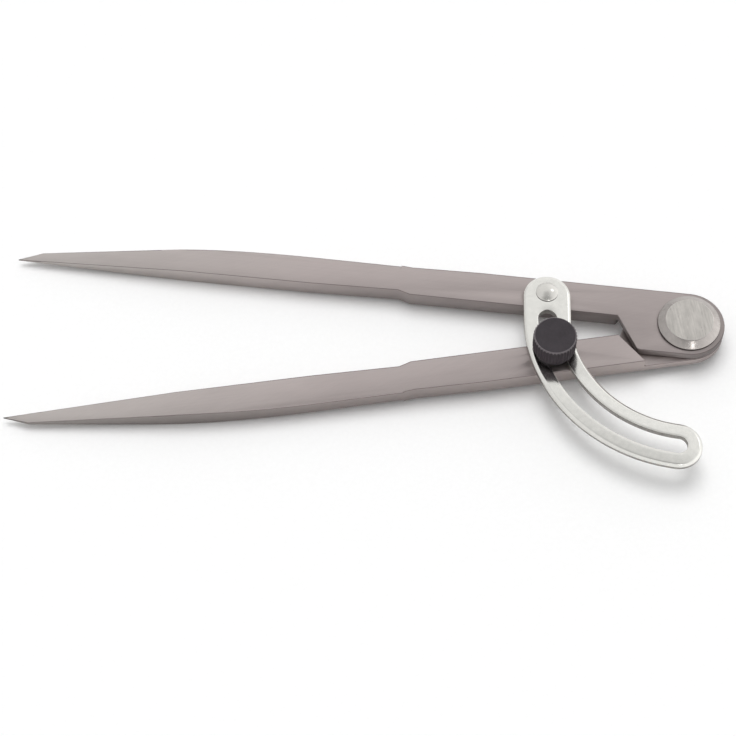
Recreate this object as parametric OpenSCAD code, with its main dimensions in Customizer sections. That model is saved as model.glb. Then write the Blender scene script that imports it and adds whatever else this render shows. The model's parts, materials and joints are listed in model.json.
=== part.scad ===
// Wing dividers: two pointed legs on a firm joint, with a slotted wing and a knurled clamp screw.
// The pivot axis is the Z axis, the points lie towards -X, and z = 0 is the back of the pivot nut.
// Each leg is drawn with x along it from the pivot and y outwards, away from the other leg.

/* [Legs] */
// Distance from the pivot axis to each point
leg_length = 200; // [180:1:240]
// Width of a leg beside the pivot, and so the radius of its round boss
leg_width = 10.4; // [9.8:0.1:11.5]
// Thickness of each leg
leg_thickness = 5.6; // [5:0.1:7]
// Angle between the legs as they lie
opening = 15.4; // [5:0.1:40]
// Widest angle that the slot of the wing allows
max_opening = 82.5; // [60:0.5:88]
// Gap left between the centre line and a leg's inner edge
inner_gap = 0.4; // [0.2:0.05:0.6]
// Distance from the pivot to the end of the plain shank, where the blade starts
shank_length = 82; // [70:1:95]
// Length over which each edge steps from the shank to the blade
step_length = 3.5; // [2:0.5:6]
// Depth of the neck in the outer edge at the end of the shank
neck_depth = 0.5; // [0.2:0.1:1]
// Length over which the outer edge draws in to the neck
neck_length = 20; // [10:1:30]
// How far the blade's inner edge stands back from the centre line where the blade starts
blade_relief = 1.5; // [0.8:0.1:2.2]
// How far that inner edge stands back at the middle of the blade
middle_relief = 0.8; // [0.3:0.05:1.2]
// Length of the blade's first stretch, which keeps its full width
blade_full_length = 26; // [15:1:40]
// How much narrower the blade is than the shank
blade_inset = 0.2; // [0.1:0.05:0.6]
// Length of the curve where the blade's outer edge turns in
blade_curve_length = 46; // [30:1:60]

/* [Points] */
// Length of the steep nose at each point
nose_length = 7; // [4:0.5:10]
// Width of a leg where the nose starts
nose_width = 3; // [2:0.1:4]
// Thickness of a leg where the nose starts
nose_thickness = 1.3; // [0.8:0.1:2]
// Length over which a leg thins towards its point
thinning_length = 50; // [30:1:70]
// Size of the small flat on each point
point_flat = 0.2; // [0.1:0.05:0.4]
// Gap from the centre line to the flat of each point
point_gap = 0.05; // [0.03:0.01:0.2]

/* [Blade bevel] */
// Width of the bevel along the outer edge where the blade starts
bevel_width = 2.3; // [1:0.1:3.5]
// Slope of the bevel down from the flat of the blade
bevel_slope = 14; // [6:1:25]
// Angle at which the bevel runs out into the outer edge
bevel_runout = 1.3; // [1:0.1:3]

/* [Half-lap joint] */
// Distance from the pivot to the shoulder at the inner edges
shoulder_inner = 20.4; // [18:0.1:24]
// Distance from the pivot to the shoulder at the outer edges
shoulder_outer = 14.3; // [12:0.1:16]
// Clearance between a lap plate and the shoulder that it closes on
shoulder_clearance = 0.6; // [0.3:0.05:1]
// Radius on the free corner of a lap plate
lap_corner = 1.6; // [0.5:0.1:3]
// Thickness of the friction washer between the lap plates
joint_washer_thickness = 0.4; // [0.3:0.05:0.8]
// Diameter of the friction washer
joint_washer_d = 17.6; // [14:0.1:19]

/* [Pivot] */
// Diameter of the pivot screw's shank
pivot_d = 8; // [6:0.1:9]
// Diameter of the pivot screw's head
head_d = 18.2; // [16:0.1:19.5]
// Height of the pivot screw's head
head_height = 2.2; // [1.6:0.1:3]
// Width of the chamfer round the head
head_chamfer = 1.8; // [1:0.1:2.5]
// Slope of that chamfer, up from the leg
head_chamfer_slope = 45; // [35:1:48]
// Diameter of the nut on the back
nut_d = 17; // [16.2:0.1:18.5]
// Height of the nut
nut_height = 2.2; // [1.6:0.1:3]
// Width of the chamfer round the nut
nut_chamfer = 0.8; // [0.4:0.1:1.2]
// Diameter of the two spanner holes in the nut
spanner_hole_d = 2.4; // [1.8:0.1:2.6]
// Distance from the middle of each spanner hole to the rim of the nut
spanner_hole_inset = 2.3; // [2.1:0.05:2.4]
// Depth of the spanner holes
spanner_hole_depth = 1.4; // [0.8:0.1:1.5]
// How far the end of the pivot screw stands in from the back of the nut
screw_end_inset = 0.3; // [0.1:0.05:0.6]

/* [Wing] */
// Radius of the slot's centre line about the pivot
wing_radius = 41.2; // [36:0.1:46]
// Width of the wing's band
wing_width = 13.8; // [12:0.1:15]
// Thickness of the wing
wing_thickness = 2.2; // [1.8:0.1:3]
// Width of the slot
slot_width = 5.4; // [4.8:0.1:6.2]
// How far the rivet stands past the centre of the wing's riveted end
rivet_offset = 1.1; // [0:0.1:1.6]
// Gap that the clamp washer keeps from the rivet's head when the legs are closed
rivet_clearance = 0.45; // [0.3:0.05:1.5]
// Diameter of the rivet's shank
rivet_d = 3.2; // [2.6:0.1:4]
// Diameter of the rivet's low round head
rivet_head_d = 6.5; // [5.5:0.1:7.5]
// Height of the rivet's head
rivet_head_height = 1.3; // [0.9:0.1:1.8]
// Diameter of the rivet's closed end, sunk flush in the back of the leg
rivet_tail_d = 5; // [4.2:0.1:6]

/* [Clamp screw] */
// Distance from the centre line to the clamp screw's axis, across the lower leg
clamp_offset = 4.2; // [3.8:0.1:5.4]
// Diameter of the clamp screw's stud
stud_d = 4; // [3.4:0.1:4.4]
// Diameter over the knurl
knob_d = 12.5; // [11:0.1:15]
// Height of the knurled part
knurl_height = 6.3; // [5:0.1:8]
// Number of teeth in the knurl
knurl_teeth = 40; // [30:1:48]
// Depth of the knurl
knurl_depth = 0.3; // [0.2:0.05:0.4]
// Chamfer on the upper edge of the knob
knob_chamfer = 0.5; // [0.3:0.1:0.8]
// Diameter of the plain collar under the knurl
collar_d = 9.4; // [8.6:0.1:10.6]
// Height of the collar
collar_height = 1.5; // [1:0.1:3]
// Diameter of the washer under the collar
clamp_washer_d = 10.2; // [9:0.1:11]
// Thickness of that washer
clamp_washer_thickness = 0.6; // [0.5:0.1:1]
// How deep the stud is set in the knob
stud_set = 4.5; // [3:0.1:6]
// How far the end of the stud stands in from the back of the lower leg
stud_end_inset = 0.4; // [0.2:0.1:1]
// Chamfer on the ends of the stud and the pivot screw
end_chamfer = 0.4; // [0.2:0.05:0.6]

/* [Fits] */
// Radial clearance of a pin that turns in its hole
running_fit = 0.05; // [0.02:0.01:0.08]
// Radial clearance of a pin that is fixed in its hole
fixed_fit = 0.01; // [0:0.01:0.03]
// Radial clearance of the washers round their screws
washer_fit = 0.1; // [0.08:0.01:0.2]
// Gap between parts that slide face on face
slide_gap = 0.02; // [0.01:0.01:0.05]

/* [Hidden] */
$fn = 72;

steel = [0.66, 0.64, 0.62];
bright = [0.86, 0.86, 0.84];
black = [0.16, 0.15, 0.16];
bronze = [0.62, 0.5, 0.3];

// More than any piece measures, for cuts that run clear through
beyond = 2 * leg_length;
// Overlap that joins two solids of one piece
join = 0.5;
// Straight steps that make the curve of the blade, the corner of the lap plate, and the arc of the
// wing and its round ends
blade_curve_steps = 8;
lap_corner_steps = 6;
wing_arc_steps = 28;
wing_end_steps = 18;
// First guess at the turn of the blade's curve, and how often it is bettered
taper_guess = 0.05;
taper_rounds = 12;

leg_z = nut_height;
leg_top = leg_z + leg_thickness;
lap_thickness = (leg_thickness - joint_washer_thickness) / 2 - slide_gap;
joint_washer_z = leg_z + lap_thickness + slide_gap;
wing_z = leg_top + slide_gap;
wing_top = wing_z + wing_thickness;
clamp_washer_z = wing_top + slide_gap;
knob_z = clamp_washer_z + clamp_washer_thickness + slide_gap;
knurl_z = knob_z + collar_height;

upper_direction = 180 - opening / 2;
lower_direction = 180 + opening / 2;

// Across the shoulder, its distance from the pivot grows by this much for each unit inwards
shoulder_slope = (shoulder_inner - shoulder_outer) / leg_width;
shoulder_lean = atan2(leg_width, shoulder_inner - shoulder_outer);

// The blade's outer edge is straight, turns in by one arc, and runs straight to the nose
blade_start = shank_length + step_length;
curve_start = blade_start + blade_full_length;
curve_end = curve_start + blade_curve_length;
nose_start = leg_length - nose_length;
blade_outer = leg_width - blade_inset;
nose_share = (nose_start - curve_start) / (leg_length - curve_start);
nose_inner = middle_relief + (point_gap - middle_relief) * nose_share;
taper_drop = blade_outer - nose_inner - nose_width;
taper_angle = 2 * atan(taper_half_tangent(taper_guess, taper_rounds));
curve_radius = blade_curve_length / sin(taper_angle);

// The clamp screw stands on the slot's centre line, this far along the lower leg
clamp_reach = sqrt(wing_radius * wing_radius - clamp_offset * clamp_offset);
clamp_angle = asin(clamp_offset / wing_radius);

// The slot starts where the clamp screw stands when the legs are closed
slot_start = upper_direction + clamp_angle;
slot_end = slot_start + max_opening;
rivet_reach = (clamp_washer_d + rivet_head_d) / 2 + rivet_clearance;
lug_length = rivet_reach - rivet_offset;
rivet_tail_depth = (rivet_tail_d - rivet_d) / 2;

// The tangent of half the angle that the arc turns the edge through. The arc and the straight
// taper share the drop from the blade's full width to the nose, so it is found by repetition.
function taper_half_tangent(guess, rounds) =
    rounds < 1 ? guess
    : taper_half_tangent(
        taper_drop / (blade_curve_length + 2 * (nose_start - curve_end) / (1 - guess * guess)), rounds - 1);

function direction(angle) = [cos(angle), sin(angle)];

function arc_points(centre, radius, from, to, steps) =
    [for (i = [0 : steps]) centre + radius * direction(from + (to - from) * i / steps)];

// Plan of the full-thickness part of a leg, from the shoulder along the inner edge to the point and back
function leg_plan() = concat(
    [[shoulder_inner + shoulder_clearance, inner_gap],
     [shank_length, inner_gap],
     [blade_start, blade_relief],
     [curve_start, middle_relief],
     [leg_length, point_gap],
     [leg_length, point_gap + point_flat],
     [nose_start, nose_inner + nose_width]],
    arc_points([curve_start, blade_outer - curve_radius], curve_radius, 90 - taper_angle, 90,
        blade_curve_steps),
    [[blade_start, blade_outer],
     [shank_length, leg_width - neck_depth],
     [shank_length - neck_length, leg_width],
     [shoulder_outer + shoulder_clearance, leg_width]]);

// Side view of a leg, which thins evenly from both faces towards the point
function leg_side() = [
    [0, 0],
    [leg_length - thinning_length, 0],
    [nose_start, (leg_thickness - nose_thickness) / 2],
    [leg_length, (leg_thickness - point_flat) / 2],
    [leg_length, (leg_thickness + point_flat) / 2],
    [nose_start, (leg_thickness + nose_thickness) / 2],
    [leg_length - thinning_length, leg_thickness],
    [0, leg_thickness]];

// Plan of the half-thickness lap plate, which crosses to the other leg's side
function lap_plan() = concat(
    [[0, -leg_width]],
    arc_points([shoulder_outer - lap_corner * tan(shoulder_lean / 2), lap_corner - leg_width],
        lap_corner, -90, shoulder_lean - 90, lap_corner_steps),
    [[shoulder_inner + shoulder_slope * inner_gap, inner_gap],
     [shoulder_inner + shoulder_clearance + join, inner_gap],
     [shoulder_inner + shoulder_clearance + join, leg_width],
     [0, leg_width]]);

// The shallow bevel along the outer edge of the blade, as the cut that makes it in the upper face
module bevel_cut() {
    translate([blade_start, blade_outer - bevel_width, leg_thickness])
        rotate([0, 0, bevel_runout])
            rotate([-bevel_slope, 0, 0])
                cube(beyond);
}

// A leg with its lap plate below. The other leg is the same piece turned over.
module leg_blank() {
    difference() {
        union() {
            intersection() {
                linear_extrude(leg_thickness)
                    polygon(leg_plan());
                translate([0, beyond / 2, 0])
                    rotate([90, 0, 0])
                        linear_extrude(beyond)
                            polygon(leg_side());
            }
            linear_extrude(lap_thickness) {
                circle(leg_width);
                polygon(lap_plan());
            }
        }
        translate([0, 0, -join])
            cylinder(h = leg_thickness, d = pivot_d + 2 * running_fit);
        bevel_cut();
        translate([0, 0, leg_thickness])
            mirror([0, 0, 1])
                bevel_cut();
    }
}

// The place of the rivet, on the far side of the slot's start
module at_rivet() {
    rotate([0, 0, slot_start])
        translate([wing_radius, -rivet_reach, 0])
            children();
}

// The place of the clamp screw on the lower leg
module at_clamp() {
    rotate([0, 0, lower_direction])
        translate([clamp_reach, clamp_offset, 0])
            children();
}

// The rivet's shank and its sunk end, with some clearance round them
module rivet_shank(clearance) {
    translate([0, 0, leg_z])
        cylinder(h = wing_top - leg_z, d = rivet_d + 2 * clearance);
    translate([0, 0, leg_z])
        cylinder(h = rivet_tail_depth, d1 = rivet_tail_d + 2 * clearance, d2 = rivet_d + 2 * clearance);
}

module upper_leg() {
    color(steel)
        difference() {
            rotate([0, 0, upper_direction])
                translate([0, 0, leg_top])
                    rotate([180, 0, 0])
                        leg_blank();
            at_rivet()
                rivet_shank(fixed_fit);
        }
}

module lower_leg() {
    color(steel)
        difference() {
            rotate([0, 0, lower_direction])
                translate([0, 0, leg_z])
                    leg_blank();
            at_clamp()
                translate([0, 0, leg_z - join])
                    cylinder(h = leg_thickness + 2 * join, d = stud_d + 2 * running_fit);
        }
}

module joint_washer() {
    color(bronze)
        translate([0, 0, joint_washer_z])
            difference() {
                cylinder(h = joint_washer_thickness, d = joint_washer_d);
                translate([0, 0, -join])
                    cylinder(h = joint_washer_thickness + 2 * join, d = pivot_d + 2 * washer_fit);
            }
}

module pivot_screw() {
    color(bright)
        rotate_extrude()
            polygon([
                [0, screw_end_inset],
                [pivot_d / 2 - end_chamfer, screw_end_inset],
                [pivot_d / 2, screw_end_inset + end_chamfer],
                [pivot_d / 2, leg_top],
                [head_d / 2, leg_top],
                [head_d / 2, leg_top + head_height - head_chamfer * tan(head_chamfer_slope)],
                [head_d / 2 - head_chamfer, leg_top + head_height],
                [0, leg_top + head_height]]);
}

module pivot_nut() {
    color(steel)
        difference() {
            rotate_extrude()
                polygon([
                    [pivot_d / 2 + fixed_fit, 0],
                    [nut_d / 2 - nut_chamfer, 0],
                    [nut_d / 2, nut_chamfer],
                    [nut_d / 2, nut_height - slide_gap],
                    [pivot_d / 2 + fixed_fit, nut_height - slide_gap]]);
            for (side = [-1, 1])
                translate([0, side * (nut_d / 2 - spanner_hole_inset), -join])
                    cylinder(h = spanner_hole_depth + join, d = spanner_hole_d);
        }
}

// A list without its first and last entries
function inner_part(list) = [for (i = [1 : len(list) - 2]) list[i]];

// Outline that keeps the given distance from the slot's centre line, anticlockwise. Its near end lies
// the given length before the start of the slot.
function arc_outline(reach, lead) =
    let (
        near_centre = wing_radius * direction(slot_start) - lead * direction(slot_start + 90),
        far_centre = wing_radius * direction(slot_end),
        near_end = arc_points(near_centre, reach, slot_start + 180, slot_start + 360, wing_end_steps),
        far_end = arc_points(far_centre, reach, slot_end, slot_end + 180, wing_end_steps))
    concat(
        arc_points([0, 0], wing_radius + reach, slot_start, slot_end, wing_arc_steps),
        inner_part(far_end),
        arc_points([0, 0], wing_radius - reach, slot_end, slot_start, wing_arc_steps),
        lead > 0 ? near_end : inner_part(near_end));

module wing() {
    color(bright)
        difference() {
            translate([0, 0, wing_z])
                linear_extrude(wing_thickness)
                    difference() {
                        polygon(arc_outline(wing_width / 2, lug_length));
                        polygon(arc_outline(slot_width / 2, 0));
                    }
            at_rivet()
                rivet_shank(fixed_fit);
        }
}

module wing_rivet() {
    dome_radius = (pow(rivet_head_d / 2, 2) + pow(rivet_head_height, 2)) / (2 * rivet_head_height);
    color(bright)
        at_rivet() {
            rivet_shank(0);
            intersection() {
                translate([0, 0, wing_top + rivet_head_height - dome_radius])
                    sphere(dome_radius);
                translate([0, 0, wing_top])
                    cylinder(h = rivet_head_height + join, d = rivet_head_d + 2 * join);
            }
        }
}

// Plan of the straight knurl
function knurl_plan() =
    [for (i = [0 : 2 * knurl_teeth - 1])
        (knob_d / 2 - (i % 2) * knurl_depth) * direction(i * 180 / knurl_teeth)];

module clamp_knob() {
    color(black)
        at_clamp()
            difference() {
                union() {
                    translate([0, 0, knob_z])
                        cylinder(h = collar_height + join, d = collar_d);
                    intersection() {
                        translate([0, 0, knurl_z])
                            linear_extrude(knurl_height)
                                polygon(knurl_plan());
                        translate([0, 0, knurl_z])
                            rotate_extrude()
                                polygon([
                                    [0, 0],
                                    [knob_d / 2 - knob_chamfer, 0],
                                    [knob_d / 2 + join, knob_chamfer + join],
                                    [knob_d / 2 + join, knurl_height - knob_chamfer - join],
                                    [knob_d / 2 - knob_chamfer, knurl_height],
                                    [0, knurl_height]]);
                    }
                }
                translate([0, 0, knob_z - join])
                    cylinder(h = stud_set + join + fixed_fit, d = stud_d + 2 * fixed_fit);
            }
}

module clamp_stud() {
    color(steel)
        at_clamp()
            rotate_extrude()
                polygon([
                    [0, leg_z + stud_end_inset],
                    [stud_d / 2 - end_chamfer, leg_z + stud_end_inset],
                    [stud_d / 2, leg_z + stud_end_inset + end_chamfer],
                    [stud_d / 2, knob_z + stud_set],
                    [0, knob_z + stud_set]]);
}

module clamp_washer() {
    color(black)
        at_clamp()
            translate([0, 0, clamp_washer_z])
                difference() {
                    cylinder(h = clamp_washer_thickness, d = clamp_washer_d);
                    translate([0, 0, -join])
                        cylinder(h = clamp_washer_thickness + 2 * join, d = stud_d + 2 * washer_fit);
                }
}

upper_leg();
lower_leg();
joint_washer();
pivot_screw();
pivot_nut();
wing();
wing_rivet();
clamp_knob();
clamp_stud();
clamp_washer();
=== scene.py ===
# Looks of the wing dividers: two ground steel legs, a nickel-plated wing and a blackened clamp screw.
# Every length is in metres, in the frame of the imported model: Z is the pivot axis and -X the points' side.
import math
import json

import bmesh
import bpy
from mathutils import Matrix, Vector

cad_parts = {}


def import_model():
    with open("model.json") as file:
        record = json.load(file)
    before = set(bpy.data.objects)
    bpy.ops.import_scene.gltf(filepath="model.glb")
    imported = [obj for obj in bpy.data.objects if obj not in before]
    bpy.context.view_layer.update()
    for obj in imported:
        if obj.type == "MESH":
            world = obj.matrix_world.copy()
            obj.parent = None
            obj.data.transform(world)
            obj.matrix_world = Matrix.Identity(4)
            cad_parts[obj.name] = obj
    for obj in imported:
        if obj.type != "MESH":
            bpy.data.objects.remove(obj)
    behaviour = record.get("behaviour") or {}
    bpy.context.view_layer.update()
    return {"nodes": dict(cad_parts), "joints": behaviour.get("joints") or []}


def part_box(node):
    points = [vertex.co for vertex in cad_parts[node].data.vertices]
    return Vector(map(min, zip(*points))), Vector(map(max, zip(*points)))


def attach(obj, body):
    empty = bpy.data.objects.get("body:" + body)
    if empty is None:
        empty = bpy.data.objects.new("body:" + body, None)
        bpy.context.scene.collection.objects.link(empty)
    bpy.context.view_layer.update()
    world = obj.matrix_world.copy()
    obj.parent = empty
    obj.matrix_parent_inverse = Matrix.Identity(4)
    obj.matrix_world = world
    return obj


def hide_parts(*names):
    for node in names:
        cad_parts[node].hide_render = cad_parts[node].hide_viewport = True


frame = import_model()

MM = 0.001

# Colours, in the 0 to 255 steps of a screen
LEG_STEEL = (183, 173, 171)
# The legs' sides are lit and shaded copies of the steel, as painted shade, darkest on the lower leg
UPPER_SIDE_SHADED_STEEL = (180, 171, 169)
LOWER_SIDE_SHADED_STEEL = (147, 139, 137)
EDGE_SHADE_STEEL = (126, 116, 115)
WING_NICKEL = (228, 227, 222)
RIVET_NICKEL = (213, 211, 206)
SHEARED_SHADED_NICKEL = (164, 161, 157)
RIVET_FOOT_SHADE = (92, 89, 87)
HEAD_FACE_STEEL = (193, 189, 184)
HEAD_RIM_STEEL = (188, 182, 178)
HEAD_WALL_SHADE = (84, 78, 77)
NUT_STEEL = (172, 168, 164)
THREAD_STEEL = (176, 173, 170)
BLACK = (50, 45, 49)
KNURL_LIT_BLACK = (66, 59, 64)
CHAMFER_HIGHLIGHT_BLACK = (112, 106, 109)
BRONZE = (158, 128, 84)
BOARD_WHITE = (250, 250, 250)
WHITE_LIGHT = (1, 1, 1, 1)
# How strongly the black of the screw shines, and how strongly its knurl does
BLACK_SHINE = 0.3
KNURL_SHINE = 0.12

# Edges that the maker broke on the legs. Those that reach beyond the nose's start are broken less
LEG_EDGE = 0.34 * MM
NOSE_EDGE_SHARE = 0.2
NOSE_START = 0.1965
# From this turn of the faces on, in degrees, legs and nut show an edge, and the legs' edges are broken
SHARP_TURN = 28
# How much the nut's edges are broken, and from which turn on
NUT_EDGE = 0.1 * MM
NUT_SHARP_TURN = 40
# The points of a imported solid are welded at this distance, and its faces are joined up to this turn
WELD = 0.002 * MM
FLAT_TURN = math.radians(0.4)
# How much rougher the legs' milled sides and their broken edges with painted shade are than their faces
SIDE_ROUGHER = 0.18
EDGE_SHADE_ROUGHER = 0.1
# Between these distances from the pivot the steel's tone changes from the joint's to the blade's, as painted
# light and shade
TONE_SPAN = (0.014, 0.128)
# The joint's tone as a share of the blade's, and how late it changes: on the faces and on each leg's sides.
# It is painted shade, except on the lower leg's sides, where it is painted light
FACE_CHANGE = (0.83, 0.8)
UPPER_SIDE_CHANGE = (0.59, 2.0)
LOWER_SIDE_CHANGE = (1.55, 1.0)
# Towards the points the steel gets paler and less pink: from where to where, and by how much in each channel
POINT_SPAN = (0.108, 0.186)
POINT_GAIN = (0.078, 0.128, 0.113)
# The round end behind the pivot is darker still, as painted shade: its tone, and where it starts and ends
END_SHADE = 0.66
END_SPAN = (-0.0102, 0.002)
# The few strokes of the grinding that cross the others: their turn, and their depth as a share
CROSSING_TURN = math.radians(24)
CROSSING_SHARE = 0.4
# The broken edges that get painted shade as dark lines, by the parts of their normals. All rise at least
# this much, and none faces the points more than this, as the slopes where the blades start do
LINE_RISE = 0.3
LINE_STEP = -0.4
# The far ones face the back by more than this and rise less than this
FAR_LINE_SIDE = 0.2
FAR_LINE_RISE = 0.97
# The near ones face the front or the pivot's end by more than this and rise less than this
NEAR_LINE_SIDE = -0.2
NEAR_LINE_END = 0.3
NEAR_LINE_RISE = 0.8

# The most that the normal of a wall rises or falls: of the legs and the head, of the wing and of the knurl
WALL_RISE = 0.3
SHEARED_RISE = 0.12
KNURL_RISE = 0.4
# How much the normal rises on the knob's upper chamfer, which carries a painted highlight
CHAMFER_RISE = (0.4, 0.95)
# The most of a side that the rounding of a corner takes, on the wing and the screw head
CORNER_SHARE = 0.4

# The wing: half widths of its band and slot, and the straight part of the lug
WING_REACH = 6.9 * MM
SLOT_REACH = 2.7 * MM
LUG_LENGTH = 7.7 * MM
# How far the slot runs, the opening of the legs at rest, and the screw's distance from its leg's inner edge
SLOT_TRAVEL = math.radians(82.5)
OPENING = math.radians(15.4)
CLAMP_OFFSET = 4.2 * MM
# Width and depth of the bevelled upper edge, its rounding, and the radius of the other edges
RIM_WIDTH = 0.8 * MM
RIM_DEPTH = 0.66 * MM
RIM_ROUND = 0.26 * MM
BURR_RADIUS = 0.2 * MM
BURR_STEPS = 3
# Loops that cross the flat of the band, as shares of the way from the bevel to the slot
FLAT_SHARES = (0.04, 0.25, 0.5, 0.75)
# Steps along the wing's arcs and round its two ends
ARC_STEPS = 72
END_STEPS = 28
# The band is arched towards its free end: how far it falls to the rim, and where the arch starts and is full
ARCH_DROP = 0.24 * MM
ARCH_START = math.radians(203)
ARCH_FULL = math.radians(226)
# By the clamp screw the inner band leans towards the slot, where the washer has pressed it
DISH_DROP = 0.3 * MM
DISH_SPAN = [math.radians(turn) for turn in (181, 190, 207, 219)]
# Points of the wing that lie closer together than this are one point
SAME_SPOT = 0.0005 * MM

# The rivet: radius of its head, its shank, its sunk end and its hole in the wing
RIVET_HEAD = 3.25 * MM
RIVET_SHANK = 1.6 * MM
RIVET_TAIL = 2.5 * MM
RIVET_HOLE = 1.61 * MM
# The height of the head's foot, and as shares of it how high its slope goes and how high its painted shade
# goes
RIVET_FOOT = 0.22 * MM
FOOT_SLOPE = 0.6
FOOT_SHADE_SHARE = 1.1
DOME_STEPS = 14

# The knob: its knurl, its collar, its chamfers, its small edges and its parts round each tooth
KNURL_TEETH = 40
KNURL_DEPTH = 0.24 * MM
COLLAR_RADIUS = 4.7 * MM
COLLAR_HEIGHT = 1.5 * MM
KNOB_CHAMFER = 0.5 * MM
KNOB_EDGE = 0.15 * MM
CHAMFER_RINGS = 6
PARTS_PER_TOOTH = 8
# The stud and its thread, which is cut in rows and runs this far into the knob
STUD_RADIUS = 2.0 * MM
THREAD_PITCH = 0.7 * MM
THREAD_DEPTH = 0.34 * MM
THREAD_ROWS = 150
THREAD_RUN = 0.1 * MM
# The bevel on the free ends of the stud and of the pivot's shank
SCREW_END = 0.4 * MM
# The clamp washer's broken edges, and its gap round the stud
WASHER_EDGE = 0.12 * MM
WASHER_GAP = 0.1 * MM

PIVOT_RADIUS = 4.0 * MM
HEAD_BEVEL_WIDTH = 2.15 * MM
HEAD_BEVEL_DEPTH = 1.55 * MM
HEAD_ROUND = 0.18 * MM
HEAD_ROUND_STEPS = 6
# The bevel's painted shade on the points' side, and how far from the axis it starts and ends to change
RIM_SHADE = 0.75
RIM_SHADE_SPAN = (-0.007, 0.01)
# Which way the head and the nut were brushed
HEAD_BRUSHING = math.radians(97)
NUT_BRUSHING = math.radians(60)

# The photograph's camera, found from both legs, the wing and the pivot
CAMERA_DISTANCE = 0.583
CAMERA_AIM = Vector((-0.09378, -0.0087, 0))
CAMERA_ELEVATION = math.radians(60)
CAMERA_ROLL = math.radians(-1.57)
CAMERA_TURN = math.radians(0.99)
CAMERA_LIFT = 0.0022
CAMERA_CLIP = 0.01
FOCAL_PIXELS = 2000
PHOTO_PIXELS = 736
SENSOR_WIDTH = 36

# The tool lies on the edge of its nut and on the legs' undersides where they start to thin
REST_NUT_X = -0.0085
REST_LEG_X = -0.1495
# How far the board under the tool reaches to each side
FLOOR_REACH = 3.0

# What metal mirrors of the room, as (height of the direction, tone), and how much lighter it is on the right
ROOM_TONES = [(0.0, 0.8), (0.18, 1.08), (0.6, 1.04), (0.88, 0.96), (0.97, 0.68), (1.0, 0.6)]
ROOM_SIDE = 0.34
# The dim upper part of the room's front
FRONT_SHADE = 0.6
FRONT_HEIGHT = (0.72, 0.86)
FRONT_DEPTH = (0.1, 0.5)
# Two small bright lamps that only metal shows: direction, outer and inner rim in degrees, and strength
SPARKS = [((0.19, -0.654, 0.732), (3.8, 1.6), 7.0), ((0.509, 0.5, 0.7), (9, 4), 1.6)]
# Light of the room on the floor and how far it leans to the back
ROOM_LIGHT = 0.6
ROOM_BACK = 0.6
# The lamp: its strength, its width and its direction, where azimuth 0 is behind the object, at +Y
LAMP_LIGHT = 1.44
LAMP_WIDTH = math.radians(42)
LAMP_ELEVATION = math.radians(68)
LAMP_AZIMUTH = math.radians(-6)
# The glow that keeps the floor white for the camera and in mirrors
FLOOR_LIFT = 0.03

joints = {joint["name"]: joint for joint in frame["joints"]}
clamp_axis = Vector(joints["clamp_turn"]["pos_m"][:2])
wing_radius = clamp_axis.length
clamp_angle = math.asin(CLAMP_OFFSET / wing_radius)
upper_turn = math.pi - OPENING / 2
lower_turn = math.pi + OPENING / 2
slot_start = upper_turn + clamp_angle
slot_end = slot_start + SLOT_TRAVEL
rivet_low, rivet_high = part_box("wing_rivet")
rivet_axis = ((rivet_low + rivet_high) / 2).xy


def linear(colour):
    """A colour given in the 0 to 255 steps of a screen, as the shader takes it."""
    steps = [value / 255 for value in colour]
    return [s / 12.92 if s <= 0.04045 else ((s + 0.055) / 1.055) ** 2.4 for s in steps]


# Node trees

class Tree:
    """A node tree, with short ways to add its nodes."""

    def __init__(self, tree):
        self.nodes = tree.nodes
        self.links = tree.links

    def add(self, kind, inputs=None, **settings):
        """A new node with its settings, and with its inputs by name."""
        node = self.nodes.new(kind)
        for key, value in settings.items():
            setattr(node, key, value)
        for key, value in (inputs or {}).items():
            self.put(node.inputs[key], value)
        return node

    def put(self, socket, value):
        """Links the socket to another, or sets its value."""
        if isinstance(value, bpy.types.NodeSocket):
            self.links.new(value, socket)
        else:
            socket.default_value = value

    def math(self, operation, *values):
        """The result of one operation on the values."""
        node = self.add("ShaderNodeMath", operation=operation)
        for socket, value in zip(node.inputs, values):
            self.put(socket, value)
        return node.outputs[0]

    def product(self, *values):
        """All the values, multiplied."""
        result = values[0]
        for value in values[1:]:
            result = self.math("MULTIPLY", result, value)
        return result

    def vector_math(self, operation, first, second):
        """The results of one operation on two vectors."""
        node = self.add("ShaderNodeVectorMath", operation=operation)
        self.put(node.inputs[0], first)
        self.put(node.inputs[1], second)
        return node.outputs

    def span(self, value, low, high, from_low=0.3, from_high=0.7):
        """The value, spread from one range to another. Noise lies mostly between 0.3 and 0.7."""
        values = {"Value": value, "From Min": from_low, "From Max": from_high, "To Min": low, "To Max": high}
        return self.add("ShaderNodeMapRange", values).outputs["Result"]


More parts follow.
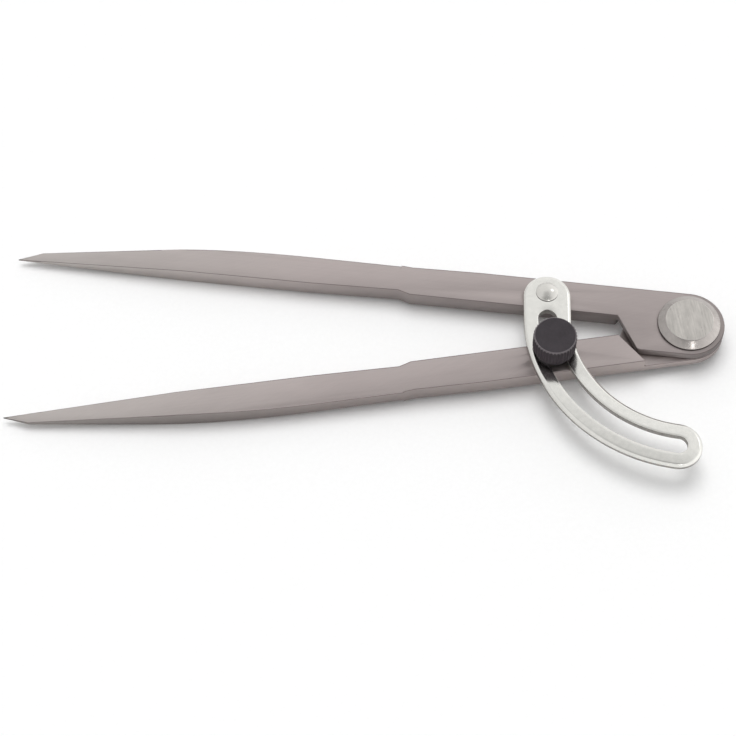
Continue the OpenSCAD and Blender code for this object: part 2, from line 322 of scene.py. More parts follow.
class Recipe(Tree):
    """A material's node tree, with short ways to the marks that tools leave."""

    def __init__(self, name):
        self.material = bpy.data.materials.new(name)
        self.material.use_nodes = True
        super().__init__(self.material.node_tree)
        self.shader = self.nodes["Principled BSDF"]

    def place(self, turn=0.0):
        """Object coordinates in metres, turned so that X runs along the work."""
        coordinates = self.add("ShaderNodeTexCoord").outputs["Object"]
        return self.add("ShaderNodeMapping", {"Vector": coordinates, "Rotation": (0, 0, -turn)}).outputs[0]

    def noise(self, place, per_metre, detail=2.0, roughness=0.5):
        """Noise that changes this many times a metre along, across and through the work."""
        stretched = self.add("ShaderNodeMapping", {"Vector": place, "Scale": per_metre}).outputs[0]
        values = {"Vector": stretched, "Scale": 1.0, "Detail": detail, "Roughness": roughness}
        return self.add("ShaderNodeTexNoise", values).outputs["Fac"]

    def tint(self, colour, factor):
        """The colour, darkened or lightened by a factor."""
        node = self.add("ShaderNodeVectorMath", operation="SCALE")
        self.put(node.inputs[0], colour)
        self.put(node.inputs["Scale"], factor)
        return node.outputs[0]

    def bump(self, height, depth):
        """The normal of a surface that the marks have worn to this depth."""
        return self.add("ShaderNodeBump", {"Height": height, "Distance": depth, "Strength": 1.0}).outputs[0]

    def finish(self, **inputs):
        """The material, once its shader has these inputs."""
        for key, value in inputs.items():
            self.put(self.shader.inputs[key.replace("_", " ")], value)
        return self.material


# Materials

def ground_steel(name, turn, colour=LEG_STEEL, change=FACE_CHANGE, rougher=0.0):
    """Warm grey steel ground along the leg, with a cloudy tone and a few crossing strokes.
    The tone changes from the joint to the blade as painted light and shade, and the round end behind the
    pivot is painted darker."""
    recipe = Recipe(name)
    place = recipe.place(turn)
    along = recipe.add("ShaderNodeSeparateXYZ", {"Vector": place}).outputs["X"]
    joint_light, lateness = change
    away = recipe.math("POWER", recipe.span(along, 0.0, 1.0, *TONE_SPAN), lateness)
    behind = recipe.span(along, END_SHADE, 1.0, *END_SPAN)
    # Painted light and shade: the tone towards the joint and on the round end behind the pivot
    painted_light = recipe.product(recipe.span(away, joint_light, 1.0, 0.0, 1.0), behind)
    strokes = recipe.noise(place, per_metre=(45, 2400, 2400), detail=4, roughness=0.6)
    crossing = recipe.noise(recipe.place(turn + CROSSING_TURN), per_metre=(90, 2000, 2000), detail=3)
    cloud = recipe.noise(place, per_metre=(28, 70, 70), detail=3, roughness=0.6)
    tone = recipe.product(
        recipe.span(strokes, low=0.965, high=1.035),
        recipe.span(crossing, low=0.985, high=1.015),
        painted_light,
        recipe.span(cloud, low=0.955, high=1.045))
    skin = recipe.math("ADD", strokes, recipe.product(crossing, CROSSING_SHARE))
    steel = linear(colour)
    gain = [channel * share for channel, share in zip(steel, POINT_GAIN)]
    pale = recipe.tint(gain, recipe.span(along, 0.0, 1.0, *POINT_SPAN))
    return recipe.finish(
        Base_Color=recipe.tint(recipe.vector_math("ADD", steel, pale)[0], tone),
        Metallic=1.0,
        Roughness=recipe.span(strokes, low=0.34 + rougher, high=0.46 + rougher),
        Normal=recipe.bump(skin, depth=0.01 * MM))


def plated_nickel(name, colour):
    """Bright nickel over a stamped plate, with a faintly wavy polish."""
    recipe = Recipe(name)
    place = recipe.place()
    wave = recipe.noise(place, per_metre=(170, 170, 170), detail=2)
    haze = recipe.noise(place, per_metre=(600, 600, 600), detail=3)
    return recipe.finish(
        Base_Color=recipe.tint(linear(colour), recipe.span(haze, low=0.95, high=1.02)),
        Metallic=1.0,
        Roughness=recipe.span(haze, low=0.12, high=0.2),
        Normal=recipe.bump(wave, depth=0.05 * MM))


def shaded_edge_metal(name, colour):
    """The wall that the punch left, dull with fine upright drag marks and darker as painted shade; also the
    painted shade at the feet of the rivet and the screw head.
    """
    recipe = Recipe(name)
    drag = recipe.noise(recipe.place(), per_metre=(1500, 1500, 160), detail=3)
    return recipe.finish(
        Base_Color=recipe.tint(linear(colour), recipe.span(drag, low=0.8, high=1.15)),
        Metallic=1.0,
        Roughness=recipe.span(drag, low=0.42, high=0.6),
        Normal=recipe.bump(drag, depth=0.02 * MM))


def brushed_steel(name, colour, turn=0.0):
    """Turned steel whose faces were brushed one way."""
    recipe = Recipe(name)
    place = recipe.place(turn)
    strokes = recipe.noise(place, per_metre=(150, 2200, 2200), detail=3, roughness=0.6)
    cloud = recipe.noise(place, per_metre=(260, 480, 480), detail=3, roughness=0.65)
    tone = recipe.product(recipe.span(strokes, low=0.87, high=1.1), recipe.span(cloud, low=0.88, high=1.08))
    return recipe.finish(
        Base_Color=recipe.tint(linear(colour), tone),
        Metallic=1.0,
        Roughness=recipe.span(strokes, low=0.26, high=0.42),
        Normal=recipe.bump(strokes, depth=0.015 * MM))


def turned_steel(name, colour):
    """Bright steel straight from the lathe, with painted shade on the points' side."""
    recipe = Recipe(name)
    place = recipe.place()
    haze = recipe.noise(place, per_metre=(700, 700, 700), detail=2)
    across = recipe.add("ShaderNodeSeparateXYZ", {"Vector": place}).outputs["X"]
    # Painted shade: darker on the points' side
    points_side_shade = recipe.span(across, RIM_SHADE, 1.0, *RIM_SHADE_SPAN)
    tone = recipe.product(recipe.span(haze, low=0.92, high=1.04), points_side_shade)
    return recipe.finish(
        Base_Color=recipe.tint(linear(colour), tone),
        Metallic=1.0,
        Roughness=recipe.span(haze, low=0.15, high=0.23),
        Normal=recipe.bump(haze, depth=0.012 * MM))


def blackened_steel(name, colour=BLACK, shine=BLACK_SHINE):
    """Satin black with a fine grain, a little worn."""
    recipe = Recipe(name)
    place = recipe.place()
    grain = recipe.noise(place, per_metre=(2200, 2200, 2200), detail=3)
    cloud = recipe.noise(place, per_metre=(260, 260, 260), detail=2)
    tone = recipe.product(recipe.span(grain, low=0.85, high=1.15), recipe.span(cloud, low=0.84, high=1.14))
    return recipe.finish(
        Base_Color=recipe.tint(linear(colour), tone),
        Metallic=0.0,
        Roughness=recipe.span(grain, low=0.42, high=0.56),
        Specular_IOR_Level=shine,
        Normal=recipe.bump(grain, depth=0.02 * MM))


def plain_bronze(name):
    """Dull bronze with a fine grain."""
    recipe = Recipe(name)
    grain = recipe.noise(recipe.place(), per_metre=(900, 900, 900), detail=3)
    return recipe.finish(
        Base_Color=recipe.tint(linear(BRONZE), recipe.span(grain, low=0.88, high=1.08)),
        Metallic=1.0,
        Roughness=recipe.span(grain, low=0.4, high=0.55),
        Normal=recipe.bump(grain, depth=0.01 * MM))


# Mesh helpers

def new_object(name, mesh, material):
    """An object with one material, put into the scene."""
    piece = bpy.data.objects.new(name, mesh)
    bpy.context.scene.collection.objects.link(piece)
    mesh.materials.clear()
    mesh.materials.append(material)
    return piece


def mesh_of(name, shape):
    """The finished bmesh as a mesh, with its faces turned outwards."""
    bmesh.ops.recalc_face_normals(shape, faces=shape.faces)
    mesh = bpy.data.meshes.new(name)
    shape.to_mesh(mesh)
    shape.free()
    return mesh


def packed_solid(node):
    """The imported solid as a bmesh, without the lines that cut its flat faces up."""
    shape = bmesh.new()
    shape.from_mesh(frame["nodes"][node].data)
    bmesh.ops.remove_doubles(shape, verts=shape.verts, dist=WELD)
    bmesh.ops.dissolve_limit(shape, angle_limit=FLAT_TURN, verts=shape.verts, edges=shape.edges)
    return shape


def upright(face, rise=WALL_RISE):
    """Whether the face is a wall, by how little its normal rises or falls."""
    return abs(face.normal.z) < rise


def paint(mesh, material, chosen):
    """Gives a second material to the faces that the test chooses."""
    mesh.materials.append(material)
    for face in mesh.polygons:
        if chosen(face):
            face.material_index = len(mesh.materials) - 1


def smooth(mesh, angle=30):
    """Smooth shading, apart from edges where the faces turn by more than this many degrees."""
    mesh.shade_smooth()
    mesh.set_sharp_from_angle(angle=math.radians(angle))


def freeze(piece):
    """Turns the piece's modifiers into plain mesh."""
    graph = bpy.context.evaluated_depsgraph_get()
    made = bpy.data.meshes.new_from_object(piece.evaluated_get(graph))
    piece.modifiers.clear()
    piece.data = made


def break_edges(piece, width, segments, **settings):
    """Bevels the edges that the settings choose."""
    bevel = piece.modifiers.new("broken edges", "BEVEL")
    bevel.width = width
    bevel.segments = segments
    for key, value in settings.items():
        setattr(bevel, key, value)
    freeze(piece)


def hand_over(piece, body, node):
    """Ties the finished piece to its body, and hides the node that it stands for."""
    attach(piece, body)
    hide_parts(node)


def soft_corners(outline, radius, steps=4):
    """The outline of (radius, height) points, with its inner corners rounded."""
    points = [Vector(p) for p in outline]
    result = [points[0]]
    for before, corner, after in zip(points, points[1:], points[2:]):
        back, on = before - corner, after - corner
        cut = min(radius, back.length * CORNER_SHARE, on.length * CORNER_SHARE)
        start, end = corner + back.normalized() * cut, corner + on.normalized() * cut
        for i in range(steps + 1):
            t = i / steps
            result.append((1 - t) ** 2 * start + 2 * t * (1 - t) * corner + t ** 2 * end)
    return result + [points[-1]]


def skin(shape, loops, closed):
    """Faces between each loop of points and the next, and back to the first loop if the row is closed."""
    pairs = list(zip(loops, loops[1:]))
    if closed:
        pairs.append((loops[-1], loops[0]))
    for lower, upper in pairs:
        for i in range(len(lower)):
            after = (i + 1) % len(lower)
            corners = list(dict.fromkeys([lower[i], lower[after], upper[after], upper[i]]))
            if len(corners) > 2:
                shape.faces.new(corners)


def turned(name, outline, centre, steps, material):
    """A turned piece from an outline of (radius, height) points.
    The outline starts and ends on the axis, or closes on itself for a ring."""
    shape = bmesh.new()
    turns = [2 * math.pi * i / steps for i in range(steps)]
    loops = []
    for radius, height in outline:
        if radius == 0:
            loops.append([shape.verts.new((centre[0], centre[1], height))] * steps)
            continue
        spots = [(centre[0] + radius * math.cos(a), centre[1] + radius * math.sin(a), height) for a in turns]
        loops.append([shape.verts.new(spot) for spot in spots])
    skin(shape, loops, closed=outline[0][0] > 0)
    return new_object(name, mesh_of(name, shape), material)


# Legs

def edge_shade_line(face):
    """The broken edges that get painted shade as dark lines. The slopes where the blades start stay plain.
    """
    normal = face.normal
    far = normal.y > FAR_LINE_SIDE and normal.z < FAR_LINE_RISE
    near = (normal.y < NEAR_LINE_SIDE or normal.x > NEAR_LINE_END) and normal.z < NEAR_LINE_RISE
    return normal.z >= LINE_RISE and normal.x >= LINE_STEP and (far or near)


def leg(node, turn, side_shade_colour, side_change):
    """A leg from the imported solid, with its edges broken. The edges of the fine nose are broken less."""
    shape = packed_solid(node)
    weight = shape.edges.layers.float.new("bevel_weight_edge")
    for edge in shape.edges:
        if len(edge.link_faces) == 2 and edge.calc_face_angle(0) > math.radians(SHARP_TURN):
            far = max(v.co.xy.length for v in edge.verts)
            edge[weight] = NOSE_EDGE_SHARE if far > NOSE_START else 1.0
    name = node + "_ground"
    piece = new_object(name, mesh_of(name, shape), ground_steel(node + " ground steel", turn))
    break_edges(piece, LEG_EDGE, segments=3, limit_method="WEIGHT", use_clamp_overlap=False)
    # Painted shade on the milled sides, changing towards the joint
    sides = ground_steel(node + " milled sides with painted shade", turn, side_shade_colour, side_change, SIDE_ROUGHER)
    paint(piece.data, sides, upright)
    # Painted shade: dark lines along the broken edges
    lines = ground_steel(node + " worn edges", turn, EDGE_SHADE_STEEL, rougher=EDGE_SHADE_ROUGHER)
    paint(piece.data, lines, edge_shade_line)
    smooth(piece.data, SHARP_TURN)
    hand_over(piece, node, node)


# Wing

def arc_points(centre, radius, start, end, steps):
    """Points along an arc, both ends included."""
    turns = [start + (end - start) * i / steps for i in range(steps + 1)]
    return [centre + radius * Vector((math.cos(a), math.sin(a))) for a in turns]


def wing_outline(reach, lead):
    """The outline at one distance from the slot's centre line. Its near end lies a lead before the slot."""
    origin = Vector((0, 0))
    start = Vector((math.cos(slot_start), math.sin(slot_start)))
    along = Vector((-math.sin(slot_start), math.cos(slot_start)))
    near = wing_radius * start - lead * along
    far = wing_radius * Vector((math.cos(slot_end), math.sin(slot_end)))
    points = arc_points(origin, wing_radius + reach, slot_start, slot_end, ARC_STEPS)
    points += arc_points(far, reach, slot_end, slot_end + math.pi, END_STEPS)[1:-1]
    points += arc_points(origin, wing_radius - reach, slot_end, slot_start, ARC_STEPS)
    return points + arc_points(near, reach, slot_start + math.pi, slot_start + 2 * math.pi, END_STEPS)


def quarter(radius, steps):
    """Points of a quarter circle, from its vertical end to its level end, as (inset, drop)."""
    turns = [math.pi / 2 * i / steps for i in range(steps + 1)]
    return [(radius * (1 - math.cos(a)), radius * (1 - math.sin(a))) for a in turns]


def wing_section(bottom, top):
    """The band's section as (distance from the slot's centre line, height), from its lower outer edge on."""
    burr = quarter(BURR_RADIUS, BURR_STEPS)
    lower_outer = [(WING_REACH - inset, bottom + drop) for inset, drop in reversed(burr)]
    rim = [
        (WING_REACH, bottom + BURR_RADIUS),
        (WING_REACH, top - RIM_DEPTH),
        (WING_REACH - RIM_WIDTH, top),
        (SLOT_REACH, top)]
    bevel = [tuple(point) for point in soft_corners(rim, RIM_ROUND)[1:-1]]
    flat_start = bevel[-1][0]
    flat_end = SLOT_REACH + BURR_RADIUS
    flat = [(flat_start + (flat_end - flat_start) * share, top) for share in FLAT_SHARES]
    upper_inner = [(SLOT_REACH + inset, top - drop) for inset, drop in reversed(burr)]
    lower_inner = [(SLOT_REACH + inset, bottom + drop) for inset, drop in burr]
    return lower_outer + bevel + flat + upper_inner + lower_inner


def part_way(value, start, end):
    """How far the value has come from the start to the end, from 0 to 1."""
    return min(max((value - start) / (end - start), 0), 1)


def ease(value, start, end):
    """0 before the start, 1 after the end, and a soft rise between them."""
    share = part_way(value, start, end)
    return share * share * (3 - 2 * share)


def upper_fall(reach, spot):
    """How far a point of the upper face lies below the flat plate."""
    flat_reach = WING_REACH - RIM_WIDTH
    turn = math.atan2(spot.y, spot.x) % (2 * math.pi)
    across = part_way(reach ** 2, SLOT_REACH ** 2, flat_reach ** 2)
    arch = ARCH_DROP * across * ease(turn, ARCH_START, ARCH_FULL)
    if spot.length > wing_radius:
        return arch
    inward = part_way(reach, flat_reach, SLOT_REACH)
    return arch + DISH_DROP * inward * ease(turn, *DISH_SPAN[:2]) * (1 - ease(turn, *DISH_SPAN[2:]))


def bore(piece, centre, radius, low, high):
    """Drills a round hole through the piece, from one height to the other."""
    outline = [(0, low), (radius, low), (radius, high), (0, high)]
    drill = turned("drill", outline, centre, steps=48, material=piece.data.materials[0])
    cut = piece.modifiers.new("rivet hole", "BOOLEAN")
    cut.operation = "DIFFERENCE"
    cut.solver = "EXACT"
    cut.object = drill
    freeze(piece)
    bpy.data.objects.remove(drill)


def wing():
    """The slotted plate, skinned from outlines that each keep one distance from the slot's centre line."""
    low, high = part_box("wing")
    shape = bmesh.new()
    loops = []
    for reach, height in wing_section(low.z, high.z):
        lead = LUG_LENGTH * part_way(reach, SLOT_REACH + BURR_RADIUS, WING_REACH - RIM_WIDTH)
        raised = height > low.z + 2 * BURR_RADIUS
        loop = []
        for spot in wing_outline(reach, lead):
            fall = upper_fall(reach, spot) if raised else 0
            loop.append(shape.verts.new((spot.x, spot.y, height - fall)))
        loops.append(loop)
    skin(shape, loops, closed=True)
    bmesh.ops.remove_doubles(shape, verts=shape.verts, dist=SAME_SPOT)
    plate = plated_nickel("bright nickel plate", WING_NICKEL)
    piece = new_object("wing_plate", mesh_of("wing_plate", shape), plate)
    # The sheared walls: a duller finish, darkened further as painted shade
    wall = shaded_edge_metal("sheared edge", SHEARED_SHADED_NICKEL)
    paint(piece.data, wall, lambda face: upright(face, SHEARED_RISE))
    bore(piece, rivet_axis, RIVET_HOLE, low.z - MM, high.z + MM)
    smooth(piece.data, angle=35)
    hand_over(piece, "upper_leg", "wing")


def wing_rivet():
    """A rivet with a low round head, a shank through wing and leg, and an end sunk flush in the back."""
    base, crown = rivet_low.z, rivet_high.z
    wing_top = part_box("wing")[1].z
    height = crown - wing_top - RIVET_FOOT
    dome = (RIVET_HEAD ** 2 + height ** 2) / (2 * height)
    sweep = math.asin(RIVET_HEAD / dome)
    outline = [
        (0, base),
        (RIVET_TAIL, base),
        (RIVET_SHANK, base + RIVET_TAIL - RIVET_SHANK),
        (RIVET_SHANK, wing_top),
        (RIVET_HEAD - RIVET_FOOT, wing_top),
        (RIVET_HEAD, wing_top + RIVET_FOOT * FOOT_SLOPE)]
    turns = [sweep * (1 - i / DOME_STEPS) for i in range(DOME_STEPS)]
    outline += [(dome * math.sin(turn), crown - dome * (1 - math.cos(turn))) for turn in turns]
    outline.append((0, crown))
    nickel = plated_nickel("rivet nickel", RIVET_NICKEL)
    piece = turned("rivet", outline, rivet_axis, steps=72, material=nickel)
    # Painted shade round the foot of the rivet's head
    foot = shaded_edge_metal("rivet foot", RIVET_FOOT_SHADE)
    foot_top = wing_top + RIVET_FOOT * FOOT_SHADE_SHARE
    paint(piece.data, foot, lambda face: wing_top <= face.center.z < foot_top)
    smooth(piece.data, angle=40)
    hand_over(piece, "upper_leg", "wing_rivet")


# Pivot

def pivot_screw():
    """The screw that both legs turn on, with its low head and wide bevel."""
    low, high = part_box("pivot_screw")
    head = high.x
    leg_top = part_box("upper_leg")[1].z
    rim = high.z - HEAD_BEVEL_DEPTH
    face_edge = head - HEAD_BEVEL_WIDTH
    shank = [
        (0, low.z),
        (PIVOT_RADIUS - SCREW_END, low.z),
        (PIVOT_RADIUS, low.z + SCREW_END),
        (PIVOT_RADIUS, leg_top)]
    crown = [(head, leg_top), (head, rim), (face_edge, high.z), (0, high.z)]
    outline = shank + soft_corners(crown, HEAD_ROUND, HEAD_ROUND_STEPS)
    face_steel = brushed_steel("brushed screw head", HEAD_FACE_STEEL, HEAD_BRUSHING)
    piece = turned("pivot_head", outline, (0, 0), steps=160, material=face_steel)
    ring = turned_steel("turned rim", HEAD_RIM_STEEL)
    paint(piece.data, ring, lambda face: face.center.xy.length > face_edge and face.center.z > leg_top)
    # Painted shade on the head's low wall, where it meets the leg
    wall = shaded_edge_metal("rim wall shade", HEAD_WALL_SHADE)
    paint(piece.data, wall, lambda face: leg_top < face.center.z < rim and upright(face))
    smooth(piece.data)
    hand_over(piece, "upper_leg", "pivot_screw")


def pivot_nut():
    """The low round nut on the back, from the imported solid, with its edges broken."""
    steel = brushed_steel("brushed nut", NUT_STEEL, NUT_BRUSHING)
    piece = new_object("nut", mesh_of("nut", packed_solid("pivot_nut")), steel)
    break_edges(piece, NUT_EDGE, segments=2, limit_method="ANGLE", angle_limit=math.radians(NUT_SHARP_TURN))
    smooth(piece.data, SHARP_TURN)
    hand_over(piece, "upper_leg", "pivot_nut")


def joint_washer():
    """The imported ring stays, and gets its bronze."""
    ring = frame["nodes"]["joint_washer"]
    ring.data.materials[0] = plain_bronze("plain bronze")


# Clamp screw, whose knurl and thread are cut by geometry nodes

class Cutter(Tree):
    """A geometry node tree that moves the points of a turned blank round the screw's axis.
    Named sizes are its inputs."""

    def __init__(self, name, sizes):
        self.group = bpy.data.node_groups.new(name, "GeometryNodeTree")
        super().__init__(self.group)
        sockets = self.group.interface
        sockets.new_socket("Geometry", in_out="INPUT", socket_type="NodeSocketGeometry")
        self.values = {}
        for size, value in {"Axis X": clamp_axis.x, "Axis Y": clamp_axis.y, **sizes}.items():
            socket = sockets.new_socket(size, in_out="INPUT", socket_type="NodeSocketFloat")
            self.values[socket.identifier] = value
        sockets.new_socket("Geometry", in_out="OUTPUT", socket_type="NodeSocketGeometry")
        self.given = self.add("NodeGroupInput").outputs
        self.end = self.add("NodeGroupOutput")

    def polar(self):
        """Angle, radius and height of each point about the axis."""
        position = self.add("GeometryNodeInputPosition").outputs[0]
        split = self.add("ShaderNodeSeparateXYZ", {"Vector": position}).outputs
        across = self.math("SUBTRACT", split["X"], self.given["Axis X"])
        deep = self.math("SUBTRACT", split["Y"], self.given["Axis Y"])
        squares = self.math("ADD", self.product(across, across), self.product(deep, deep))
        return self.math("ARCTAN2", deep, across), self.math("SQRT", squares), split["Z"]

    def close(self, angle, radius, height, material):
        """Moves each point to its new radius, then realizes and paints the result."""
        across = self.product(self.math("COSINE", angle), radius)
        deep = self.product(self.math("SINE", angle), radius)
        spot = self.add("ShaderNodeCombineXYZ", {
            "X": self.math("ADD", across, self.given["Axis X"]),
            "Y": self.math("ADD", deep, self.given["Axis Y"]),
            "Z": height}).outputs[0]
        moved = self.add("GeometryNodeSetPosition", {"Geometry": self.given["Geometry"], "Position": spot})
        real = self.add("GeometryNodeRealizeInstances", {"Geometry": moved.outputs[0]})
        coated = self.add("GeometryNodeSetMaterial", {"Geometry": real.outputs[0], "Material": material})
        self.put(self.end.inputs[0], coated.outputs[0])

    def cut(self, blank):
        """Runs the tree on the blank, and keeps the result as plain mesh."""
        modifier = blank.modifiers.new(self.group.name, "NODES")
        modifier.node_group = self.group
        for identifier, value in self.values.items():
            modifier[identifier] = value
        freeze(blank)


def clamp_washer():
    """The flat washer between the knob's collar and the wing."""
    low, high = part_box("clamp_washer")
    inner, outer = STUD_RADIUS + WASHER_GAP, (high.x - low.x) / 2
    outline = [
        (inner, low.z),
        (outer - WASHER_EDGE, low.z),
        (outer, low.z + WASHER_EDGE),
        (outer, high.z - WASHER_EDGE),
        (outer - WASHER_EDGE, high.z),
        (inner, high.z)]
    coat = blackened_steel("blackened washer")
    piece = turned("screw_washer", outline, clamp_axis, steps=96, material=coat)
    smooth(piece.data)
    hand_over(piece, "clamp_washer", "clamp_washer")


def clamp_knob():
    """The knurled head on its plain collar, chamfered above and below the knurl."""
    low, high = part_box("clamp_knob")
    outer = (high.x - low.x) / 2
    flat = outer - KNOB_CHAMFER
    knurl_low = low.z + COLLAR_HEIGHT
    knurl_high = high.z - KNOB_CHAMFER
    steps = [KNOB_CHAMFER * i / CHAMFER_RINGS for i in range(CHAMFER_RINGS + 1)]
    outline = [
        (0, low.z),
        (COLLAR_RADIUS - KNOB_EDGE, low.z),
        (COLLAR_RADIUS, low.z + KNOB_EDGE),
        (COLLAR_RADIUS, knurl_low)]
    outline += [(flat + step, knurl_low + step) for step in steps]
    outline += [(flat + step, high.z - step) for step in reversed(steps)]
    outline += [(flat - KNOB_EDGE, high.z), (0, high.z)]
    coat = blackened_steel("blackened knob")
    piece = turned("knob", outline, clamp_axis, steps=KNURL_TEETH * PARTS_PER_TOOTH, material=coat)
    knurl = Cutter("knurl", {"Teeth": KNURL_TEETH, "Depth": KNURL_DEPTH, "Outer Radius": outer})
    angle, radius, height = knurl.polar()
    flanks = knurl.product(angle, knurl.math("DIVIDE", knurl.given["Teeth"], math.pi))
    groove = knurl.product(knurl.math("PINGPONG", flanks, 1.0), knurl.given["Depth"])
    limit = knurl.math("SUBTRACT", knurl.given["Outer Radius"], groove)
    knurl.close(angle, knurl.math("MINIMUM", radius, limit), height, coat)
    knurl.cut(piece)
    mesh = piece.data
    # Painted light: the knurl's sides are lighter than the black of the top and collar
    side = blackened_steel("blackened knurl", KNURL_LIT_BLACK, KNURL_SHINE)
    paint(mesh, side, lambda face: knurl_low < face.center.z < knurl_high and upright(face, KNURL_RISE))
    # Painted highlight on the knob's upper chamfer
    painted_light = blackened_steel("worn black edge", CHAMFER_HIGHLIGHT_BLACK)
    least, most = CHAMFER_RISE
    paint(mesh, painted_light, lambda face: face.center.z > knurl_high and least < face.normal.z < most)
    smooth(mesh, angle=25)
    hand_over(piece, "clamp_screw", "clamp_knob")


def clamp_stud():
    """The threaded stud. Its thread ends just inside the knob."""
    low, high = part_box("clamp_stud")
    start = low.z + SCREW_END
    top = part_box("clamp_knob")[0].z + THREAD_RUN
    outline = [(0, low.z), (STUD_RADIUS - SCREW_END, low.z)]
    outline += [(STUD_RADIUS, start + (top - start) * i / THREAD_ROWS) for i in range(THREAD_ROWS + 1)]
    outline += [(STUD_RADIUS, high.z), (0, high.z)]
    steel = brushed_steel("bright thread", THREAD_STEEL)
    piece = turned("threaded_stud", outline, clamp_axis, steps=48, material=steel)
    thread = Cutter("thread", {"Pitch": THREAD_PITCH, "Depth": THREAD_DEPTH, "Top": top})
    angle, radius, height = thread.polar()
    climb = thread.math("DIVIDE", height, thread.given["Pitch"])
    turns = thread.math("SUBTRACT", climb, thread.math("DIVIDE", angle, 2 * math.pi))
    wave = thread.product(thread.math("PINGPONG", turns, 0.5), 2.0)
    below = thread.math("LESS_THAN", height, thread.given["Top"])
    groove = thread.product(wave, thread.product(thread.given["Depth"], below))
    limit = thread.math("SUBTRACT", STUD_RADIUS, groove)
    thread.close(angle, thread.math("MINIMUM", radius, limit), height, steel)
    thread.cut(piece)
    smooth(piece.data)
    hand_over(piece, "clamp_screw", "clamp_stud")


# Stage

def camera():
    """The photograph's view."""
    sine, cosine = math.sin(CAMERA_ELEVATION), math.cos(CAMERA_ELEVATION)
    right, up, ahead = Vector((1, 0, 0)), Vector((0, sine, cosine)), Vector((0, cosine, -sine))
    across = math.cos(CAMERA_ROLL) * right + math.sin(CAMERA_ROLL) * up
    upward = math.cos(CAMERA_ROLL) * up - math.sin(CAMERA_ROLL) * right
    spot = CAMERA_AIM - CAMERA_DISTANCE * ahead
    rows = [[across[i], upward[i], -ahead[i], spot[i]] for i in range(3)]
    pose = Matrix(rows + [[0, 0, 0, 1]])
    data = bpy.data.cameras.new("camera")
    data.sensor_width = SENSOR_WIDTH
    data.lens = SENSOR_WIDTH * FOCAL_PIXELS / PHOTO_PIXELS
    data.clip_start = CAMERA_CLIP
    view = bpy.data.objects.new("camera", data)
    bpy.context.scene.collection.objects.link(view)
    view.matrix_world = Matrix.Translation((0, 0, CAMERA_LIFT)) @ Matrix.Rotation(CAMERA_TURN, 4, "Z") @ pose
    bpy.context.scene.camera = view


def lamp():
    """A broad even light from far away, which metal doesn't mirror."""
    data = bpy.data.lights.new("overhead", "SUN")
    data.energy = LAMP_LIGHT
    data.angle = LAMP_WIDTH
    light = bpy.data.objects.new("overhead", data)
    bpy.context.scene.collection.objects.link(light)
    level = math.cos(LAMP_ELEVATION)
    towards = (math.sin(LAMP_AZIMUTH) * level, math.cos(LAMP_AZIMUTH) * level, math.sin(LAMP_ELEVATION))
    light.rotation_mode = "QUATERNION"
    light.rotation_quaternion = Vector(towards).to_track_quat("Z", "Y")
    light.visible_glossy = False


def seen_and_mirrored(tree):
    """1 for a ray from the camera, and 1 for that ray or one sent on by metal or glass. Others have 0."""
    path = tree.add("ShaderNodeLightPath").outputs
    bounced = tree.math("MAXIMUM", path["Is Glossy Ray"], path["Is Transmission Ray"])
    return path["Is Camera Ray"], tree.math("MAXIMUM", path["Is Camera Ray"], bounced)


def room_tone(tree, way):
    """What metal mirrors: a pale room, lighter on the right, with a dim front and two small bright lamps."""
    split = tree.add("ShaderNodeSeparateXYZ", {"Vector": way}).outputs
    sky = tree.add("ShaderNodeValToRGB", {"Fac": split["Z"]})
    for height, level in ROOM_TONES[1:-1]:
        sky.color_ramp.elements.new(height)
    for element, (height, level) in zip(sky.color_ramp.elements, ROOM_TONES):
        element.position = height
        element.color = (level, level, level, 1)
    low = tree.math("SUBTRACT", 1.0, tree.math("ABSOLUTE", split["Z"]))
    side = tree.math("ADD", 1.0, tree.product(split["X"], ROOM_SIDE, low))
    high = tree.span(split["Z"], 0.0, FRONT_SHADE, *FRONT_HEIGHT)
    front = tree.span(tree.product(split["Y"], -1.0), 0.0, 1.0, *FRONT_DEPTH)
    shade = tree.math("SUBTRACT", 1.0, tree.product(high, front))
    tone = tree.product(sky.outputs["Color"], side, shade)
    for aim, widths, strength in SPARKS:
        match = tree.vector_math("DOT_PRODUCT", way, Vector(aim).normalized())["Value"]
        rims = [math.cos(math.radians(width)) for width in widths]
        tone = tree.math("ADD", tone, tree.span(match, 0.0, strength, *rims))
    return tone


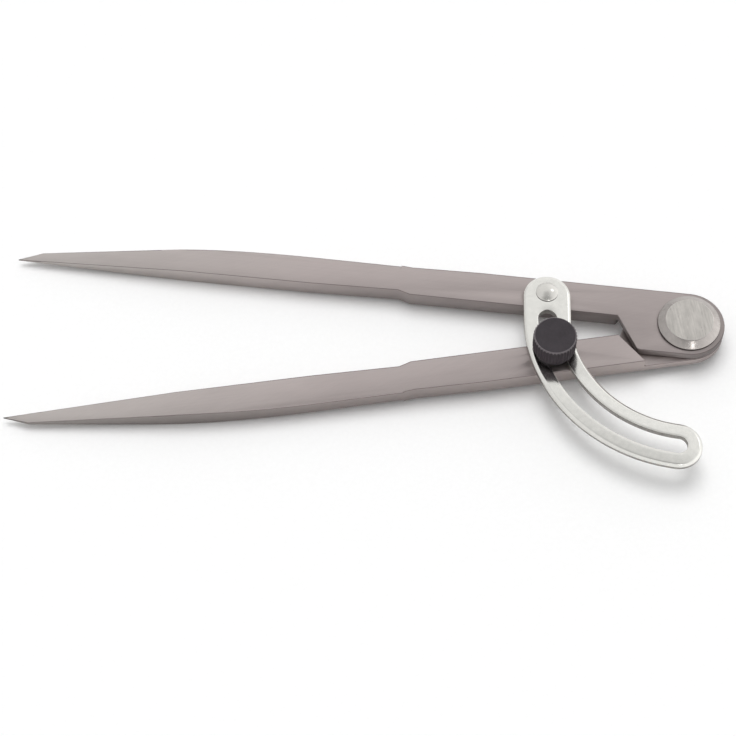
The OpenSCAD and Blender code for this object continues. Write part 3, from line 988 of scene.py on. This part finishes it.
def world():
    """A pale room. The camera sees it white, metal mirrors its tones, and it lights the floor evenly."""
    room = bpy.data.worlds.new("room")
    bpy.context.scene.world = room
    room.use_nodes = True
    tree = Tree(room.node_tree)
    way = tree.add("ShaderNodeTexCoord").outputs["Generated"]
    tone = room_tone(tree, way)
    camera_ray, mirrored = seen_and_mirrored(tree)
    seen = tree.math("ADD", tree.product(tone, tree.math("SUBTRACT", 1.0, camera_ray)), camera_ray)
    depth = tree.add("ShaderNodeSeparateXYZ", {"Vector": way}).outputs["Y"]
    even = tree.product(tree.math("MULTIPLY_ADD", depth, ROOM_BACK, 1.0), ROOM_LIGHT)
    lit = tree.product(tree.math("SUBTRACT", 1.0, mirrored), even)
    background = tree.nodes["Background"]
    tree.put(background.inputs["Strength"], tree.math("ADD", tree.product(seen, mirrored), lit))
    tree.put(background.inputs["Color"], WHITE_LIGHT)


def floor():
    """The white board. It slopes a little, so that the tool rests on its nut and on its legs."""
    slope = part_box("upper_leg")[0].z / (REST_NUT_X - REST_LEG_X)
    shape = bmesh.new()
    corners = [(-FLOOR_REACH, -FLOOR_REACH), (FLOOR_REACH, -FLOOR_REACH)]
    corners += [(FLOOR_REACH, FLOOR_REACH), (-FLOOR_REACH, FLOOR_REACH)]
    shape.faces.new([shape.verts.new((x, y, (REST_NUT_X - x) * slope)) for x, y in corners])
    mesh = bpy.data.meshes.new("floor")
    shape.to_mesh(mesh)
    shape.free()
    recipe = Recipe("white board")
    fibre = recipe.noise(recipe.place(), per_metre=(900, 900, 900), detail=2)
    board = recipe.finish(
        Base_Color=recipe.tint(linear(BOARD_WHITE), recipe.span(fibre, low=0.99, high=1.01)),
        Roughness=0.9,
        Specular_IOR_Level=0.0,
        Emission_Color=WHITE_LIGHT,
        Emission_Strength=recipe.product(seen_and_mirrored(recipe)[1], FLOOR_LIFT))
    new_object("floor", mesh, board)


camera()
leg("upper_leg", upper_turn, UPPER_SIDE_SHADED_STEEL, UPPER_SIDE_CHANGE)
leg("lower_leg", lower_turn, LOWER_SIDE_SHADED_STEEL, LOWER_SIDE_CHANGE)
wing()
wing_rivet()
pivot_screw()
pivot_nut()
clamp_washer()
clamp_knob()
clamp_stud()
joint_washer()
floor()
world()
lamp()
bpy.context.scene.view_settings.view_transform = "Standard"
